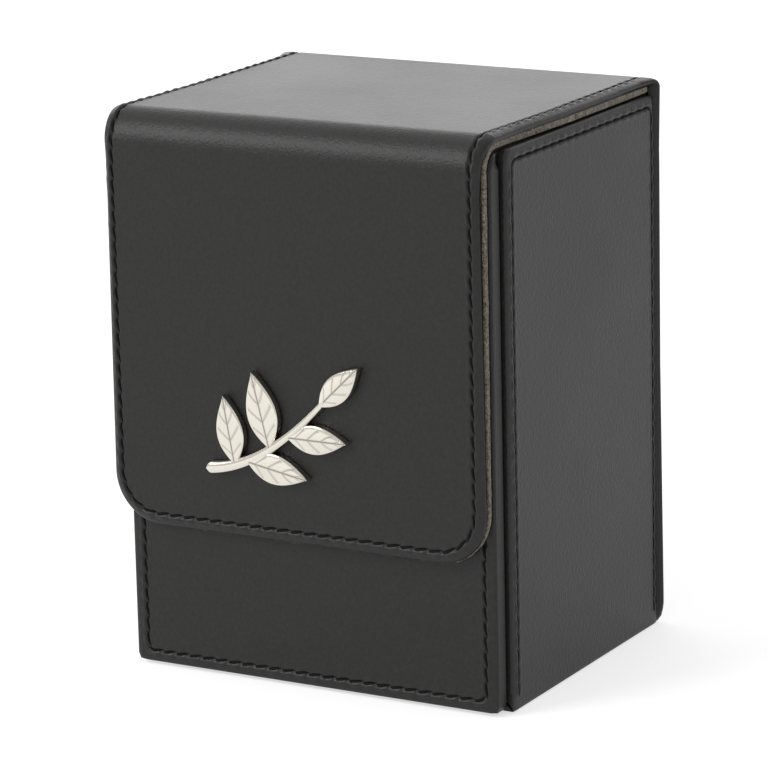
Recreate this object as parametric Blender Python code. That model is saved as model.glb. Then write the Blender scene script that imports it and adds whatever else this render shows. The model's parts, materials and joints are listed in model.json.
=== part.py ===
"""Flip deck box for trading cards.

A rigid board box lined with suede carries a stitched front panel and a leather wrap that runs round
both sides and the base. A second wrap runs up the back, over the top as the lid, and down the front
as the flap, which two pairs of magnets hold shut.

Frame: millimetres in the constants, metres in the scene. +Z is up, the front faces -Y, and the
origin is the centre of the base's underside.
"""

import bmesh
import bpy
from math import acos, cos, degrees, pi, radians, sin
from mathutils import Matrix, Vector

MM = 0.001

# ---- Overall sizes ----
BOX_WIDTH = 78.4  # across the outer faces of the two side panels
BOX_DEPTH = 65.0  # front panel's outer face to back panel's outer face
BOX_HEIGHT = 105.6  # underside of the base to the top of the closed lid

# ---- Sheet thicknesses and clearances ----
GAP = 0.3  # glue line, and the clearance between any two pieces
LEATHER = 0.7
SUEDE = 0.6
SIDE_BOARD = 1.0
BACK_BOARD = 0.5
WRAP_BOARD = 0.8
INNER_WALL = 1.5
SLIT = 0.5  # open joint between the front panel and the side wrap

# ---- Front panel ----
FRONT_WIDTH = 75.8
FRONT_THICKNESS = 3.4
FRONT_FOOT_RADIUS = 0.8
PANEL_LIFT = 0.6  # the front and back panels stop this far above the underside

# ---- Side wrap ----
WRAP_BEND_RADIUS = 2.0  # where the sides turn under the base

# ---- Lid and flap ----
WRAP_WIDTH = 78.4
FLAP_OFFSET = -1.3  # the flap sits a little to the left of the box
LID_OFFSET = -0.7
FRONT_FOLD_RADIUS = 6.3
REAR_FOLD_RADIUS = 3.5
FLAP_END = 28.1  # height of the flap's lower edge
FLAP_CORNER_RADIUS = 10.0

# ---- Seams ----
THREAD_RADIUS = 0.2
THREAD_SINK = 0.15  # the thread's centre line below the leather's face
THREAD_GAP = 0.25  # all round the thread in its groove
SEAM_CORNER_RADIUS = 1.5
WRAP_SEAM_INSET = 2.5
FRONT_SEAM_INSET = 2.2
SIDE_SEAM_INSET = 2.1
SIDE_REAR_SEAM_INSET = 1.3
SIDE_SEAM_FOOT = 3.0  # where the side seams stop, above the bend
SEAM_OVERRUN = 1.0  # a groove runs this far past an open end

# ---- Magnets ----
MAGNET_RADIUS = 5.0
FLAP_MAGNET_THICKNESS = 0.8
FRONT_MAGNET_THICKNESS = 1.5
MAGNET_SPACING = 46.0
MAGNET_ABOVE_FLAP_END = 9.0
MAGNET_SIDES = 32

# ---- Emblem: a leaf sprig with posts that go through the flap ----
EMBLEM_CENTRE = (-2.2, 52.2)
EMBLEM_THICKNESS = 1.6
STEM_ENDS = ((-16.5, -11.0), (-5.0, -10.5), (8.5, 4.0))  # foot, pull and tip of the stem's curve
STEM_HALF_WIDTHS = (1.1, 0.6)
LEAF_SWELL = 0.22  # half a leaf's width over its length
LEAF_SKEW = 0.85  # below 1, the widest place is nearer the stem than the tip
LEAVES = (  # place along the stem, length, direction in degrees
    (0.26, 13.0, 100.0),
    (0.36, 13.0, -10.0),
    (0.56, 14.5, 104.0),
    (0.70, 12.5, 0.0),
    (0.96, 11.5, 44.0),
)
POST_RADIUS = 0.9
POST_PLACES = (0.22, 0.85)  # along the stem

ARC_STEPS = 8
SHEET_ENDS = 1.0  # a cutter runs this far past the sheet that it opens
WELD_DISTANCE = 0.002
SHARP_ANGLE = 40  # degrees; a disc's rim stays sharp and its wall is shaded smooth
AXIS_MARK = 10.0  # size of the cross that marks a joint

# ---- Worked out from the sizes above ----
WRAP_THICKNESS = LEATHER + GAP + WRAP_BOARD + GAP + SUEDE
WRAP_RIM = (WRAP_THICKNESS - GAP) / 2  # how far each skin turns down over the board's edge
SIDE_THICKNESS = LEATHER + GAP + SIDE_BOARD
BACK_THICKNESS = LEATHER + GAP + BACK_BOARD

HALF_WIDTH = BOX_WIDTH / 2
FRONT_FACE = -BOX_DEPTH / 2
BACK_FACE = BOX_DEPTH / 2
FLAP_FACE = FRONT_FACE - GAP - WRAP_THICKNESS
WALL_TOP = BOX_HEIGHT - WRAP_THICKNESS - GAP

FRONT_FOLD_CENTRE = (FLAP_FACE + FRONT_FOLD_RADIUS, BOX_HEIGHT - FRONT_FOLD_RADIUS)
REAR_FOLD_CENTRE = (BACK_FACE - REAR_FOLD_RADIUS, BOX_HEIGHT - REAR_FOLD_RADIUS)
FRONT_EDGE_RADIUS = FRONT_FOLD_RADIUS - WRAP_THICKNESS - GAP
FLAP_TOP = FRONT_FOLD_CENTRE[1] - GAP
BACK_TOP = REAR_FOLD_CENTRE[1] - GAP
LID_FRONT = FRONT_FOLD_CENTRE[0] + GAP
LID_REAR = REAR_FOLD_CENTRE[0] - GAP

SIDE_FRONT = FRONT_FACE + FRONT_THICKNESS + SLIT
SIDE_REAR = BACK_FACE - BACK_THICKNESS - GAP
BOARD_INSET = LEATHER + GAP

INNER_X = HALF_WIDTH - SIDE_THICKNESS - GAP
INNER_FRONT = FRONT_FACE + FRONT_THICKNESS + GAP
INNER_REAR = SIDE_REAR - GAP
INNER_FLOOR = SIDE_THICKNESS + GAP
LINING_INSET = INNER_WALL + GAP

MAGNET_HEIGHT = FLAP_END + MAGNET_ABOVE_FLAP_END


def fold_pivot(centre, radius, forward):
    """Where a fold turns: halfway along the leather's middle line, so a straight fold is as long as a bent one."""
    reach = pi / 4 * (radius - LEATHER / 2)
    return centre[0] + forward * reach, centre[1] + reach


LID_PIVOT = fold_pivot(REAR_FOLD_CENTRE, REAR_FOLD_RADIUS, 1)
FLAP_PIVOT = fold_pivot(FRONT_FOLD_CENTRE, FRONT_FOLD_RADIUS, -1)

# Base colour, roughness and metallic value of each finish.
FINISHES = {
    "leatherette": ((0.032, 0.032, 0.031), 0.42, 0.0),
    "suede": ((0.130, 0.105, 0.082), 0.95, 0.0),
    "greyboard": ((0.300, 0.280, 0.250), 0.85, 0.0),
    "thread": ((0.012, 0.012, 0.012), 0.60, 0.0),
    "magnet": ((0.550, 0.550, 0.560), 0.30, 1.0),
    "nickel": ((0.800, 0.770, 0.720), 0.14, 1.0),
}

# Local axes of a flat outline's plane: its two directions, then the way it is extruded.
PLANES = {
    "X": Matrix(((0, 0, 1), (1, 0, 0), (0, 1, 0))),
    "Y": Matrix(((1, 0, 0), (0, 0, -1), (0, 1, 0))),
    "Z": Matrix.Identity(3),
}


def start_scene():
    for obj in list(bpy.data.objects):
        bpy.data.objects.remove(obj, do_unlink=True)
    made = []
    for name in ("card_deck_box", "cutters"):
        group = bpy.data.collections.new(name)
        bpy.context.scene.collection.children.link(group)
        made.append(group)
    made[1].hide_render = True
    return made


PARTS, CUTTERS = start_scene()


def joint_axis(name, pivot, parent=None):
    """An empty on a joint's axis, which carries the pieces that the joint moves."""
    empty = bpy.data.objects.new(name, None)
    empty.empty_display_size = AXIS_MARK * MM
    PARTS.objects.link(empty)
    empty.location = Vector((0, pivot[0], pivot[1])) * MM
    if parent:
        empty.parent = parent
        empty.location -= parent.location
    bpy.context.view_layer.update()
    return empty


LID_AXIS = joint_axis("lid_hinge_axis", LID_PIVOT)
FLAP_AXIS = joint_axis("flap_hinge_axis", FLAP_PIVOT, LID_AXIS)


def finish(obj, finish_name, carrier=None):
    """Makes an object one of the parts: its own material, and the joint that carries it."""
    colour, roughness, metallic = FINISHES[finish_name]
    material = bpy.data.materials.new(f"{obj.name}_{finish_name}")
    material.use_nodes = True
    shader = material.node_tree.nodes["Principled BSDF"]
    shader.inputs["Base Color"].default_value = (*colour, 1.0)
    shader.inputs["Roughness"].default_value = roughness
    shader.inputs["Metallic"].default_value = metallic
    obj.data.materials.clear()
    obj.data.materials.append(material)
    if carrier:
        obj.parent = carrier
        obj.matrix_parent_inverse = carrier.matrix_world.inverted()
    return obj


# ---- Outlines ----


def arc(centre, radius, start, end, steps=ARC_STEPS):
    turns = [radians(start + (end - start) * i / steps) for i in range(steps + 1)]
    return [(centre[0] + radius * cos(t), centre[1] + radius * sin(t)) for t in turns]


def rounded(frame, radii=(0, 0, 0, 0)):
    """A rectangle (u0, v0, u1, v1), with the radius of each corner from low left, anticlockwise."""
    u0, v0, u1, v1 = frame
    corners = ((u0, v0, 1, 1), (u1, v0, -1, 1), (u1, v1, -1, -1), (u0, v1, 1, -1))
    points = []
    for quarter, ((u, v, du, dv), radius) in enumerate(zip(corners, radii)):
        if radius > 0:
            centre = (u + du * radius, v + dv * radius)
            start = 180 + 90 * quarter
            points += arc(centre, radius, start, start + 90)
        else:
            points.append((u, v))
    return points


def inset(frame, by, at_top=None):
    """A frame made smaller by a distance all round, or by another distance at its top."""
    u0, v0, u1, v1 = frame
    return u0 + by, v0 + by, u1 - by, v1 - (by if at_top is None else at_top)


def quarter_ring(centre, outer, inner, start):
    there = arc(centre, outer, start, start + 90)
    back = arc(centre, inner, start + 90, start)
    return there + back


# ---- Solids ----


def mesh_of(curve_object):
    """The mesh of a curve object, its caps welded, in place of the curve."""
    bpy.context.view_layer.update()
    graph = bpy.context.evaluated_depsgraph_get()
    mesh = bpy.data.meshes.new_from_object(curve_object.evaluated_get(graph))
    work = bmesh.new()
    work.from_mesh(mesh)
    bmesh.ops.remove_doubles(work, verts=work.verts, dist=WELD_DISTANCE * MM)
    bmesh.ops.recalc_face_normals(work, faces=work.faces)
    work.to_mesh(mesh)
    work.free()
    name = curve_object.name
    solid = bpy.data.objects.new(name + "_mesh", mesh)
    solid.matrix_world = curve_object.matrix_world.copy()
    group = curve_object.users_collection[0]
    bpy.data.objects.remove(curve_object, do_unlink=True)
    group.objects.link(solid)
    solid.name = mesh.name = name
    return solid


def prism(name, outline, axis, low, high, group=PARTS):
    """A flat outline extruded along an axis. Its plane is (y, z) for X, (x, z) for Y and (x, y) for Z."""
    curve = bpy.data.curves.new(name, "CURVE")
    curve.dimensions = "2D"
    curve.fill_mode = "BOTH"
    curve.extrude = (high - low) / 2 * MM
    spline = curve.splines.new("POLY")
    spline.points.add(len(outline) - 1)
    for point, (u, v) in zip(spline.points, outline):
        point.co = (u * MM, v * MM, 0, 1)
    spline.use_cyclic_u = True
    obj = bpy.data.objects.new(name, curve)
    group.objects.link(obj)
    obj.rotation_euler = PLANES[axis].to_euler()
    obj.location["XYZ".index(axis)] = (low + high) / 2 * MM
    return mesh_of(obj)


def block(name, low, high, group=PARTS):
    sizes = [(b - a) * MM for a, b in zip(low, high)]
    mesh = bpy.data.meshes.new(name)
    work = bmesh.new()
    bmesh.ops.create_cube(work, size=1.0, matrix=Matrix.Diagonal((*sizes, 1)))
    work.to_mesh(mesh)
    work.free()
    obj = bpy.data.objects.new(name, mesh)
    group.objects.link(obj)
    obj.location = [(a + b) / 2 * MM for a, b in zip(low, high)]
    return obj


def disc(name, radius, x, z, front, back, group=PARTS):
    """A round slug that lies along Y."""
    mesh = bpy.data.meshes.new(name)
    work = bmesh.new()
    bmesh.ops.create_cone(
        work,
        cap_ends=True,
        segments=MAGNET_SIDES,
        radius1=radius * MM,
        radius2=radius * MM,
        depth=(back - front) * MM,
    )
    work.to_mesh(mesh)
    work.free()
    mesh.shade_smooth()
    mesh.set_sharp_from_angle(angle=radians(SHARP_ANGLE))
    obj = bpy.data.objects.new(name, mesh)
    group.objects.link(obj)
    obj.rotation_euler = (radians(90), 0, 0)
    obj.location = Vector((x, (front + back) / 2, z)) * MM
    return obj


def boolean(body, other, operation):
    modifier = body.modifiers.new(other.name, "BOOLEAN")
    modifier.operation = operation
    modifier.solver = "EXACT"
    modifier.object = other
    other.display_type = "WIRE"
    other.hide_render = True


def cut(body, *cutters):
    for cutter in cutters:
        boolean(body, cutter, "DIFFERENCE")


def join(body, *others):
    for other in others:
        boolean(body, other, "UNION")


# ---- Seams ----


def tube(name, points, radius, closed, group):
    curve = bpy.data.curves.new(name, "CURVE")
    curve.dimensions = "3D"
    curve.bevel_depth = radius * MM
    curve.bevel_resolution = 2
    curve.use_fill_caps = True
    spline = curve.splines.new("POLY")
    spline.points.add(len(points) - 1)
    for point, place in zip(spline.points, points):
        point.co = (*(Vector(place) * MM), 1)
    spline.use_cyclic_u = closed
    obj = bpy.data.objects.new(name, curve)
    group.objects.link(obj)
    return obj


def overrun(points, by):
    """The same line with both ends carried straight on by a distance."""
    line = [Vector(p) for p in points]
    first = line[0] + (line[0] - line[1]).normalized() * by
    last = line[-1] + (line[-1] - line[-2]).normalized() * by
    return [first, *line[1:-1], last]


def seam(name, cover, points, closed=False, carrier=None, end_gap=SEAM_OVERRUN):
    """A run of thread sunk in a groove of the cover that it sews."""
    line = points if closed else overrun(points, end_gap)
    groove = mesh_of(tube(name + "_groove", line, THREAD_RADIUS + THREAD_GAP, closed, CUTTERS))
    cut(cover, groove)
    finish(tube(name, points, THREAD_RADIUS, closed, PARTS), "thread", carrier)


def open_run(frame, radius):
    """Down the left edge of a frame, along its foot and up its right edge."""
    u0, v0, u1, v1 = frame
    foot = rounded(frame, (radius, radius, 0, 0))[: 2 * (ARC_STEPS + 1)]
    return [(u0, v1), *foot, (u1, v1)]


# ---- Box body ----


def make_inner_box():
    low = (-INNER_X, INNER_FRONT, INNER_FLOOR)
    high = (INNER_X, INNER_REAR, BACK_TOP)
    box = block("inner_box", low, high)
    well_low = [value + INNER_WALL for value in low]
    well_high = [high[0] - INNER_WALL, high[1] - INNER_WALL, high[2] + SHEET_ENDS]
    cut(box, block("inner_box_well", well_low, well_high, CUTTERS))
    finish(box, "greyboard")


def make_inner_linings():
    low = (-INNER_X + LINING_INSET, INNER_FRONT + LINING_INSET, INNER_FLOOR + LINING_INSET)
    high = (INNER_X - LINING_INSET, INNER_REAR - LINING_INSET, BACK_TOP)
    walls = block("wall_lining", low, high)
    well_low = (low[0] + SUEDE, low[1] + SUEDE, low[2] - SHEET_ENDS)
    well_high = (high[0] - SUEDE, high[1] - SUEDE, high[2] + SHEET_ENDS)
    cut(walls, block("wall_lining_well", well_low, well_high, CUTTERS))
    finish(walls, "suede")
    edge = SUEDE + GAP
    floor_low = (low[0] + edge, low[1] + edge, low[2])
    floor_high = (high[0] - edge, high[1] - edge, low[2] + SUEDE)
    finish(block("floor_lining", floor_low, floor_high), "suede")


def front_section(by, past_back=0):
    """The front panel's section, made smaller by a distance. Its top edge rolls round the fold's centre."""
    back = FRONT_FACE + FRONT_THICKNESS + past_back
    radius = FRONT_EDGE_RADIUS - by
    # A roll that is deeper than the panel stops at the panel's back.
    reach = min(back - FRONT_FOLD_CENTRE[0], 0) / radius
    roll = arc(FRONT_FOLD_CENTRE, radius, degrees(acos(reach)), 180)
    frame = (FRONT_FACE + by, PANEL_LIFT + by, back, roll[0][1])
    below = rounded(frame, (FRONT_FOOT_RADIUS - by, 0, 0, 0))[:-1]
    return below + (roll[1:] if reach < 0 else roll)


def make_front_panel():
    half = FRONT_WIDTH / 2
    cover = prism("front_panel_cover", front_section(0), "X", -half, half)
    reach = half - LEATHER
    pocket = front_section(LEATHER, SHEET_ENDS)
    cut(cover, prism("front_panel_pocket", pocket, "X", -reach, reach, CUTTERS))
    reach = half - BOARD_INSET
    board = prism("front_panel_board", front_section(BOARD_INSET), "X", -reach, reach)

    seam_frame = inset((-half, PANEL_LIFT, half, WALL_TOP - FRONT_EDGE_RADIUS), FRONT_SEAM_INSET)
    path = rounded(seam_frame, [SEAM_CORNER_RADIUS] * 4)
    line = [(x, FRONT_FACE + THREAD_SINK, z) for x, z in path]
    seam("front_panel_stitching", cover, line, closed=True)
    magnets("front_magnet", board, FRONT_FACE + BOARD_INSET, FRONT_MAGNET_THICKNESS, GAP)
    finish(cover, "leatherette")
    finish(board, "greyboard")


def magnets(name, board, front, thickness, depth_past, carrier=None):
    """Two magnets in holes in a board. Their holes run a distance past them, to the blind end or right through."""
    back = front + thickness
    for side, sign in (("left", -1), ("right", 1)):
        x = sign * MAGNET_SPACING / 2
        hole = (MAGNET_RADIUS + GAP, x, MAGNET_HEIGHT, front - SHEET_ENDS, back + depth_past)
        cut(board, disc(f"{name}_hole_{side}", *hole, CUTTERS))
        slug = disc(f"{name}_{side}", MAGNET_RADIUS, x, MAGNET_HEIGHT, front, back)
        finish(slug, "magnet", carrier)


def make_side_wrap():
    frame = (-HALF_WIDTH, 0, HALF_WIDTH, WALL_TOP)
    bend = WRAP_BEND_RADIUS
    cover = prism("side_wrap_cover", rounded(frame, (bend, bend, 0, 0)), "Y", SIDE_FRONT, SIDE_REAR)
    inside = inset(frame, SIDE_THICKNESS, at_top=-SHEET_ENDS)
    ends = SIDE_FRONT - SHEET_ENDS, SIDE_REAR + SHEET_ENDS
    cut(cover, prism("side_wrap_inside", rounded(inside), "Y", *ends, CUTTERS))
    bend -= LEATHER
    pocket = rounded(inset(frame, LEATHER), (bend, bend, 0, 0))
    ends = SIDE_FRONT + LEATHER, SIDE_REAR - LEATHER
    cut(cover, prism("side_wrap_pocket", pocket, "Y", *ends, CUTTERS))

    front, rear = SIDE_FRONT + BOARD_INSET, SIDE_REAR - BOARD_INSET
    outer, inner = HALF_WIDTH - BOARD_INSET, HALF_WIDTH - SIDE_THICKNESS
    foot = max(SIDE_THICKNESS, WRAP_BEND_RADIUS)
    top = WALL_TOP - BOARD_INSET
    for side, sign in (("left", -1), ("right", 1)):
        near, far = sorted((sign * inner, sign * outer))
        board = block(f"{side}_side_board", (near, front, foot), (far, rear, top))
        finish(board, "greyboard")
        make_side_seam(side, sign, cover)
    edge = min(inner, HALF_WIDTH - WRAP_BEND_RADIUS) - GAP
    base = block("base_board", (-edge, front, BOARD_INSET), (edge, rear, SIDE_THICKNESS))
    finish(base, "greyboard")
    finish(cover, "leatherette")


def make_side_seam(side, sign, cover):
    """Up the front edge of a side panel, along its top and down its rear edge."""
    low = SIDE_FRONT + SIDE_SEAM_INSET
    high = SIDE_REAR - SIDE_REAR_SEAM_INSET
    top = WALL_TOP - SIDE_SEAM_INSET
    # open_run goes along a foot, so its heights are turned over to go along the top.
    path = open_run((low, -top, high, -SIDE_SEAM_FOOT), SEAM_CORNER_RADIUS)
    x = sign * (HALF_WIDTH - THREAD_SINK)
    seam(f"{side}_side_stitching", cover, [(x, y, -z) for y, z in path], end_gap=THREAD_GAP)


def make_back_panel():
    frame = (-HALF_WIDTH, PANEL_LIFT, HALF_WIDTH, BACK_TOP)
    inner_face = BACK_FACE - BACK_THICKNESS
    cover = prism("back_panel_cover", rounded(frame), "Y", inner_face, BACK_FACE)
    pocket = rounded(inset(frame, LEATHER, at_top=-SHEET_ENDS))
    ends = inner_face - SHEET_ENDS, BACK_FACE - LEATHER
    cut(cover, prism("back_panel_pocket", pocket, "Y", *ends, CUTTERS))
    stiffener = rounded(inset(frame, BOARD_INSET, at_top=GAP))
    board = prism("back_panel_board", stiffener, "Y", inner_face, BACK_FACE - BOARD_INSET)
    path = open_run(inset(frame, WRAP_SEAM_INSET, at_top=GAP), SEAM_CORNER_RADIUS)
    line = [(x, BACK_FACE - THREAD_SINK, z) for x, z in path]
    seam("back_panel_stitching", cover, line)
    finish(cover, "leatherette")
    finish(board, "greyboard")


# ---- Folds ----


def make_fold(name, centre, radius, start, edges, lining_edges, carrier=None):
    """The soft strip between two stiff panels: leather outside and suede inside, with the seam on both edges."""
    cover = quarter_ring(centre, radius, radius - LEATHER, start)
    cover = prism(f"{name}_cover", cover, "X", *edges)
    lining = quarter_ring(centre, radius - BOARD_INSET, radius - WRAP_THICKNESS, start)
    lining = prism(f"{name}_lining", lining, "X", *lining_edges)
    path = arc(centre, radius - THREAD_SINK, start, start + 90)
    places = (("left", edges[0] + WRAP_SEAM_INSET), ("right", edges[1] - WRAP_SEAM_INSET))
    for side, x in places:
        line = [(x, y, z) for y, z in path]
        seam(f"{name}_stitching_{side}", cover, line, carrier=carrier)
    finish(cover, "leatherette", carrier)
    finish(lining, "suede", carrier)


def wrap_edges(offset):
    return offset - WRAP_WIDTH / 2, offset + WRAP_WIDTH / 2


def make_rear_fold():
    """Its lining drops between the side panels, whose top corners stand inside the fold."""
    edges = (-HALF_WIDTH, HALF_WIDTH)
    make_fold("rear_fold", REAR_FOLD_CENTRE, REAR_FOLD_RADIUS, 0, edges, (-INNER_X, INNER_X))


def make_front_fold():
    edges = wrap_edges(FLAP_OFFSET)
    make_fold("front_fold", FRONT_FOLD_CENTRE, FRONT_FOLD_RADIUS, 90, edges, edges, LID_AXIS)


# ---- Lid ----


def make_lid():
    x0, x1 = wrap_edges(LID_OFFSET)
    edges = (x0, LID_FRONT, x1, LID_REAR)
    # Only the two side edges are turned: the front and rear edges carry on into the folds.
    front, rear = LID_FRONT - SHEET_ENDS, LID_REAR + SHEET_ENDS
    top, under = BOX_HEIGHT, BOX_HEIGHT - WRAP_THICKNESS

    cover = prism("lid_cover", rounded(edges), "Z", top - WRAP_RIM, top)
    pocket = (x0 + LEATHER, front, x1 - LEATHER, rear)
    ends = top - WRAP_RIM - SHEET_ENDS, top - LEATHER
    cut(cover, prism("lid_cover_pocket", rounded(pocket), "Z", *ends, CUTTERS))

    lining = prism("lid_lining", rounded(edges), "Z", under, under + WRAP_RIM)
    pocket = (x0 + SUEDE, front, x1 - SUEDE, rear)
    ends = under + SUEDE, under + WRAP_RIM + SHEET_ENDS
    cut(lining, prism("lid_lining_pocket", rounded(pocket), "Z", *ends, CUTTERS))

    stiffener = rounded((x0 + BOARD_INSET, LID_FRONT + GAP, x1 - BOARD_INSET, LID_REAR - GAP))
    ends = top - BOARD_INSET - WRAP_BOARD, top - BOARD_INSET
    board = prism("lid_board", stiffener, "Z", *ends)

    for side, x in (("left", x0 + WRAP_SEAM_INSET), ("right", x1 - WRAP_SEAM_INSET)):
        line = [(x, y, top - THREAD_SINK) for y in (LID_FRONT + GAP, LID_REAR - GAP)]
        seam(f"lid_stitching_{side}", cover, line, carrier=LID_AXIS)
    finish(cover, "leatherette", LID_AXIS)
    finish(lining, "suede", LID_AXIS)
    finish(board, "greyboard", LID_AXIS)


# ---- Flap ----


def flap_outline(by, at_top):
    x0, x1 = wrap_edges(FLAP_OFFSET)
    frame = inset((x0, FLAP_END, x1, FLAP_TOP), by, at_top)
    radius = FLAP_CORNER_RADIUS - by
    return frame, radius


def flap_layer(name, by, at_top, front, back, group=PARTS):
    frame, radius = flap_outline(by, at_top)
    return prism(name, rounded(frame, (radius, radius, 0, 0)), "Y", front, back, group)


def make_flap():
    face, inner = FLAP_FACE, FLAP_FACE + WRAP_THICKNESS
    cover = flap_layer("flap_cover", 0, 0, face, face + WRAP_RIM)
    ends = face + LEATHER, face + WRAP_RIM + SHEET_ENDS
    cut(cover, flap_layer("flap_cover_pocket", LEATHER, -SHEET_ENDS, *ends, CUTTERS))

    lining = flap_layer("flap_lining", 0, 0, inner - WRAP_RIM, inner)
    ends = inner - WRAP_RIM - SHEET_ENDS, inner - SUEDE
    cut(lining, flap_layer("flap_lining_pocket", SUEDE, -SHEET_ENDS, *ends, CUTTERS))

    front = face + BOARD_INSET
    board = flap_layer("flap_board", BOARD_INSET, GAP, front, front + WRAP_BOARD)
    magnets("flap_magnet", board, front, FLAP_MAGNET_THICKNESS, SHEET_ENDS, FLAP_AXIS)

    frame, radius = flap_outline(WRAP_SEAM_INSET, GAP)
    line = [(x, face + THREAD_SINK, z) for x, z in open_run(frame, radius)]
    seam("flap_stitching", cover, line, carrier=FLAP_AXIS)
    make_emblem(cover, board)
    finish(cover, "leatherette", FLAP_AXIS)
    finish(lining, "suede", FLAP_AXIS)
    finish(board, "greyboard", FLAP_AXIS)


# ---- Emblem ----


def stem_point(t):
    """A point on the stem's curve, and the direction to its left."""
    foot, pull, tip = (Vector(p) for p in STEM_ENDS)
    place = foot.lerp(pull, t).lerp(pull.lerp(tip, t), t)
    along = (pull - foot).lerp(tip - pull, t).normalized()
    return place, Vector((-along.y, along.x))


def stem_outline():
    steps = 2 * ARC_STEPS
    left, right = [], []
    for i in range(steps + 1):
        place, side = stem_point(i / steps)
        half = STEM_HALF_WIDTHS[0] + (STEM_HALF_WIDTHS[1] - STEM_HALF_WIDTHS[0]) * i / steps
        left.append(place + side * half)
        right.append(place - side * half)
    return [tuple(p) for p in right + left[::-1]]


def leaf_outline(t, length, direction):
    """A leaf that is pointed at both ends."""
    root, _ = stem_point(t)
    turn = radians(direction)
    along = Vector((cos(turn), sin(turn)))
    side = Vector((-along.y, along.x))
    steps = ARC_STEPS
    left, right = [], []
    for i in range(1, steps):
        s = i / steps
        half = LEAF_SWELL * length * sin(pi * s**LEAF_SKEW)
        centre = root + along * length * s
        left.append(centre + side * half)
        right.append(centre - side * half)
    return [tuple(p) for p in [root, *right, root + along * length, *left[::-1]]]


def on_flap(outline):
    return [(u + EMBLEM_CENTRE[0], v + EMBLEM_CENTRE[1]) for u, v in outline]


def make_emblem(cover, board):
    """One casting: a curved stem with leaves, and two posts that pass through the leather and the board."""
    back = FLAP_FACE - GAP
    front = back - EMBLEM_THICKNESS
    emblem = prism("emblem", on_flap(stem_outline()), "Y", front, back)
    for i, leaf in enumerate(LEAVES):
        outline = on_flap(leaf_outline(*leaf))
        join(emblem, prism(f"emblem_leaf_{i}", outline, "Y", front, back, CUTTERS))
    post_end = FLAP_FACE + BOARD_INSET + WRAP_BOARD
    for i, t in enumerate(POST_PLACES):
        place, _ = stem_point(t)
        x, z = on_flap([place])[0]
        hole = (POST_RADIUS + GAP, x, z, FLAP_FACE - SHEET_ENDS, post_end + SHEET_ENDS)
        hole = disc(f"emblem_hole_{i}", *hole, CUTTERS)
        cut(cover, hole)
        cut(board, hole)
        middle = (front + back) / 2
        join(emblem, disc(f"emblem_post_{i}", POST_RADIUS, x, z, middle, post_end, CUTTERS))
    finish(emblem, "nickel", FLAP_AXIS)


make_inner_box()
make_inner_linings()
make_front_panel()
make_side_wrap()
make_back_panel()
make_rear_fold()
make_lid()
make_front_fold()
make_flap()
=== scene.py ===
"""Looks of the card deck box: stitched leatherette covers, suede lining, thread, boards and the metal sprig.

Lengths in the constants are millimetres, and the scene is in metres. Every cover is laid out flat first, as
its maker would cut it: `across` runs over its width and `along` over its length. A track then carries the
flat cover round the box, and `rise` is the height above the box's nominal face.
"""

import json
from math import cos, pi, radians, sin

import bpy
import numpy as np
from mathutils import Matrix, Vector


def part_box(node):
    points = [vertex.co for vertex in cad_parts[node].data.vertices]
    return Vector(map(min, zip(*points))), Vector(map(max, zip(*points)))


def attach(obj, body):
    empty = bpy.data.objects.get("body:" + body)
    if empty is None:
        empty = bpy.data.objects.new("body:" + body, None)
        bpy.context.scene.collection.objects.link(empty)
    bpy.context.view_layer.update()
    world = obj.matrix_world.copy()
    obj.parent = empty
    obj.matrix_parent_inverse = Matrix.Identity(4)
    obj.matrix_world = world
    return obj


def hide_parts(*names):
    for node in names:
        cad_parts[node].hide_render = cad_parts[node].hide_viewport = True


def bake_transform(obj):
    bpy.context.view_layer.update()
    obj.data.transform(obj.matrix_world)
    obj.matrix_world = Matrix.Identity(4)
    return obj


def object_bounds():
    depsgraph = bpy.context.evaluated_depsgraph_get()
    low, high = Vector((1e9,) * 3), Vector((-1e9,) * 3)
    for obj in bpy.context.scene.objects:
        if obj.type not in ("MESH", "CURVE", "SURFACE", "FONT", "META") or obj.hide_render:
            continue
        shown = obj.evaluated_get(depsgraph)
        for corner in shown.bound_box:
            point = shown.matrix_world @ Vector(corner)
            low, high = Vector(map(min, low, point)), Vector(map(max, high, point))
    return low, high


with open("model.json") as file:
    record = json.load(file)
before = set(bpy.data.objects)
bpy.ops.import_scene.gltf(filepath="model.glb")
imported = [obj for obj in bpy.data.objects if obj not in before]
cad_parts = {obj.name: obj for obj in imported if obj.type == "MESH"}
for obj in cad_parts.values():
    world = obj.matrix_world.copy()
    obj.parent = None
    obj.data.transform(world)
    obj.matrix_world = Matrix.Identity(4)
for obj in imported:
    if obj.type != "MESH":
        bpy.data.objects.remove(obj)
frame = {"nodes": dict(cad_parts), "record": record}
cad_low, cad_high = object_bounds()

MM = 0.001

# ---- Sizes read from the CAD nodes, in millimetres ----


def node_box(name):
    low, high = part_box(name)
    return np.array(low) / MM, np.array(high) / MM


PANEL_LOW, PANEL_HIGH = node_box("front_panel_cover")
SIDES_LOW, SIDES_HIGH = node_box("side_wrap_cover")
BACK_LOW, BACK_HIGH = node_box("back_panel_cover")
FLAP_LOW, FLAP_HIGH = node_box("flap_cover")
FLAP_LINING_HIGH = node_box("flap_lining")[1]
LID_LINING_LOW = node_box("lid_lining")[0]
FRONT_FOLD_LOW, FRONT_FOLD_HIGH = node_box("front_fold_cover")
REAR_FOLD_LOW = node_box("rear_fold_cover")[0]
INNER_HIGH = node_box("inner_box")[1]
WALLS_LOW, WALLS_HIGH = node_box("wall_lining")
WELL_FLOOR_LOW, WELL_FLOOR_HIGH = node_box("floor_lining")
EMBLEM_LOW = node_box("emblem")[0]

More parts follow.
